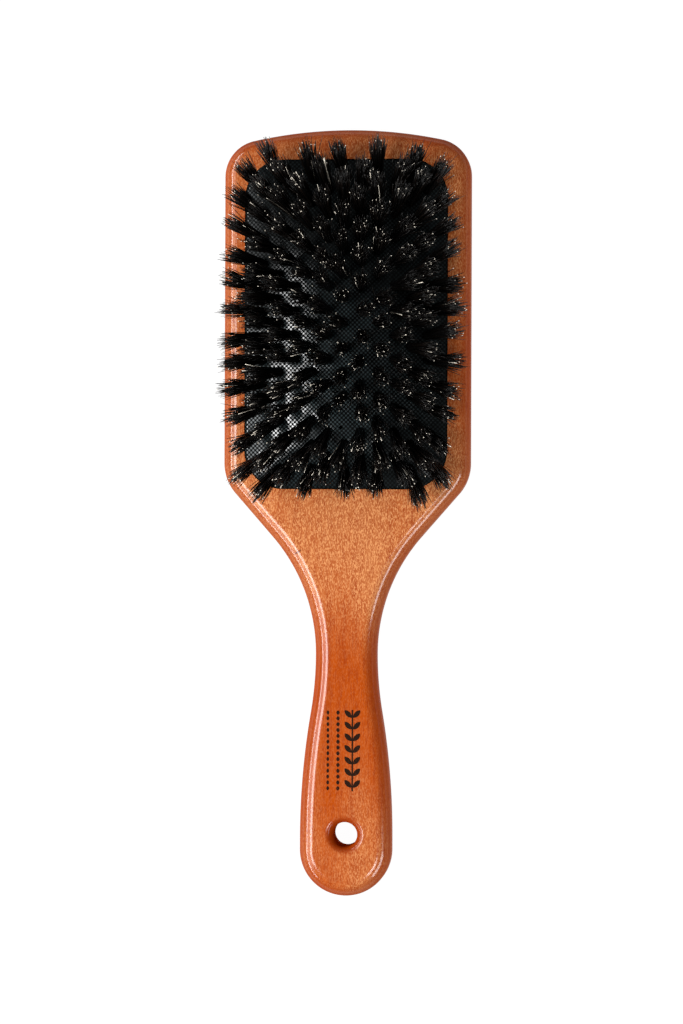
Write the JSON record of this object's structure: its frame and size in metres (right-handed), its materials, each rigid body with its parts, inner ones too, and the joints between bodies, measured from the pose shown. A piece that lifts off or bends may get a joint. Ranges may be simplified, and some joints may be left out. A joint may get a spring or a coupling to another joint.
{
  "type": "vanity hairbrush",
  "caption": "Wooden paddle hairbrush with a pneumatic rubber cushion, boar bristle tufts and a hanging hole in the grip.",
  "frame": {"origin": "centre of the flat back face, midway along the brush", "axes": "+X across the brush, +Y from the grip to the head, +Z out of the bristle side"},
  "size_m": [0.0808, 0.25, 0.0373],
  "materials": {
    "lacquered_wood": "orange-brown stain under gloss lacquer",
    "black_rubber": "satin, embossed with a fine dot weave",
    "boar_bristle": "natural dark hair with tan flagged tips",
    "staple_wire": "drawn wire"
  },
  "bodies": {
    "paddle": {"wooden_body": "lacquered_wood", "cushion_pad": "black_rubber"},
    "tufts_1": {"tuft_ring_1": "boar_bristle", "staple_ring_1": "staple_wire"},
    "tufts_2": {"tuft_ring_2": "boar_bristle", "staple_ring_2": "staple_wire"},
    "tufts_3": {"tuft_ring_3": "boar_bristle", "staple_ring_3": "staple_wire"},
    "tufts_4": {"tuft_ring_4": "boar_bristle", "staple_ring_4": "staple_wire"},
    "tufts_5": {"tuft_ring_5": "boar_bristle", "staple_ring_5": "staple_wire"},
    "tufts_6": {"tuft_ring_6": "boar_bristle", "staple_ring_6": "staple_wire"}
  },
  "joints": [
    {"name": "cushion_press", "type": "slide", "parent": "paddle", "child": "tufts_6", "axis": [0, 0, -1], "range_m": [0, 0.003], "stiffness_N_per_m": 2000, "deforming": ["cushion_pad"]},
    {"name": "ring_1_press", "type": "slide", "parent": "paddle", "child": "tufts_1", "axis": [0, 0, -1], "range_m": [0, 0.00112]},
    {"name": "ring_2_press", "type": "slide", "parent": "paddle", "child": "tufts_2", "axis": [0, 0, -1], "range_m": [0, 0.00178]},
    {"name": "ring_3_press", "type": "slide", "parent": "paddle", "child": "tufts_3", "axis": [0, 0, -1], "range_m": [0, 0.00232]},
    {"name": "ring_4_press", "type": "slide", "parent": "paddle", "child": "tufts_4", "axis": [0, 0, -1], "range_m": [0, 0.00271]},
    {"name": "ring_5_press", "type": "slide", "parent": "paddle", "child": "tufts_5", "axis": [0, 0, -1], "range_m": [0, 0.00294]}
  ],
  "couplings": [
    {"joint": "ring_1_press", "follows": "cushion_press", "ratio": 0.37},
    {"joint": "ring_2_press", "follows": "cushion_press", "ratio": 0.59},
    {"joint": "ring_3_press", "follows": "cushion_press", "ratio": 0.77},
    {"joint": "ring_4_press", "follows": "cushion_press", "ratio": 0.9},
    {"joint": "ring_5_press", "follows": "cushion_press", "ratio": 0.975}
  ]
}
